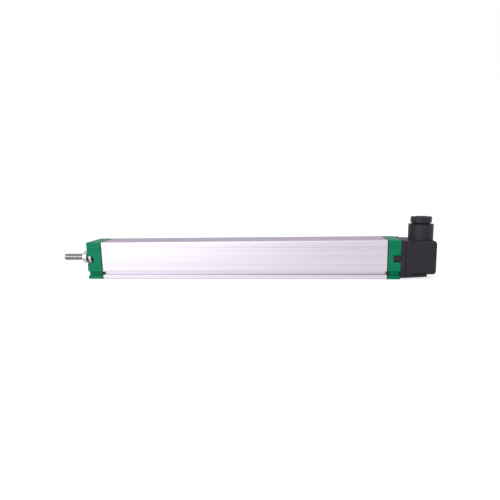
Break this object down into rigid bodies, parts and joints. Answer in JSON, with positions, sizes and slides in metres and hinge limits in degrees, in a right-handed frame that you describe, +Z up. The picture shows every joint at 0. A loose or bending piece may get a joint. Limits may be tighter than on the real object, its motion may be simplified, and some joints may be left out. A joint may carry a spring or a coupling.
{
  "type": "linear potentiometer displacement sensor",
  "caption": "Rod-type linear displacement sensor: extruded case with side clamp grooves, plastic end caps, sliding threaded rod, square plug connector with upright cable gland.",
  "frame": {"origin": "middle of the case base, halfway between the outer faces of the two end caps", "axes": "+X along the case towards the plug connector, so the rod extends towards -X; +Y to the back; +Z up"},
  "size_m": [0.3278, 0.0286, 0.051],
  "materials": {
    "anodised_aluminium": "fine matt silver anodising with faint lengthwise extrusion lines",
    "green_plastic": "moulded glass-filled nylon, satin",
    "black_rubber": "matt nitrile rubber",
    "zinc_screw": "bright zinc plate",
    "stainless": "ground stainless steel",
    "bearing_metal": "turned and ground steel",
    "bronze_liner": "sintered bronze with dry lubricant",
    "spring_steel": "blued spring steel",
    "slider_plastic": "natural acetal",
    "pad_plastic": "white low-friction plastic",
    "precious_metal": "precious metal wiper strip",
    "board_laminate": "glass-epoxy laminate",
    "conductive_track": "printed conductive plastic, smooth",
    "black_plastic": "moulded glass-filled nylon, fine satin texture",
    "grey_plastic": "moulded nylon",
    "brass": "turned brass",
    "tinned_brass": "tin-plated brass",
    "wire_red": "wire insulation",
    "wire_yellow": "wire insulation",
    "wire_blue": "wire insulation"
  },
  "bodies": {
    "case": {"housing_tube": "anodised_aluminium", "front_cap": "green_plastic", "rear_cap": "green_plastic", "front_gasket": "black_rubber", "rear_gasket": "black_rubber", "front_cap_screws": "zinc_screw", "rear_cap_screws": "zinc_screw", "guide_bush": "bearing_metal", "bush_liner": "bronze_liner", "rod_scraper": "black_rubber", "outer_float_ring": "black_rubber", "inner_float_ring": "black_rubber", "bush_retaining_clip": "spring_steel", "track_board": "board_laminate", "resistance_track": "conductive_track", "collector_track": "conductive_track", "front_bumper": "black_rubber", "rear_bumper": "black_rubber", "connector_base": "black_plastic", "base_insert": "brass", "base_seal": "black_rubber", "plug_seal": "black_rubber", "plug_shell": "black_plastic", "terminal_block": "grey_plastic", "terminal_screws": "zinc_screw", "plug_screw": "zinc_screw", "plug_screw_washer": "black_rubber", "gland_grommet": "black_rubber", "gland_washer": "zinc_screw", "gland_nut": "black_plastic", "contact_blade_1": "tinned_brass", "contact_blade_2": "tinned_brass", "contact_blade_3": "tinned_brass", "earth_blade": "tinned_brass", "socket_contact_1": "tinned_brass", "socket_contact_2": "tinned_brass", "socket_contact_3": "tinned_brass", "earth_contact": "tinned_brass", "lead_wire_1": "wire_red", "lead_wire_2": "wire_yellow", "lead_wire_3": "wire_blue"},
    "slider": {"carriage": "slider_plastic", "coupling_keeper": "stainless", "keeper_screws": "zinc_screw", "wiper_plate": "board_laminate", "wiper_screws": "zinc_screw", "resistance_wiper": "precious_metal", "collector_wiper": "precious_metal", "guide_pad_front_back": "pad_plastic", "guide_pad_front_near": "pad_plastic", "guide_pad_rear_back": "pad_plastic", "guide_pad_rear_near": "pad_plastic"},
    "rod": {"drive_rod": "stainless", "rod_collar": "bearing_metal", "rod_bump_washer": "black_rubber", "coupling_button": "stainless"}
  },
  "joints": [
    {"name": "stroke", "type": "slide", "parent": "case", "child": "slider", "axis": [-1, 0, 0], "range_m": [0, 0.205]},
    {"name": "rod_spin", "type": "hinge", "parent": "slider", "child": "rod", "pos_m": [0, 0, 0.0178], "axis": [1, 0, 0], "continuous": true}
  ]
}
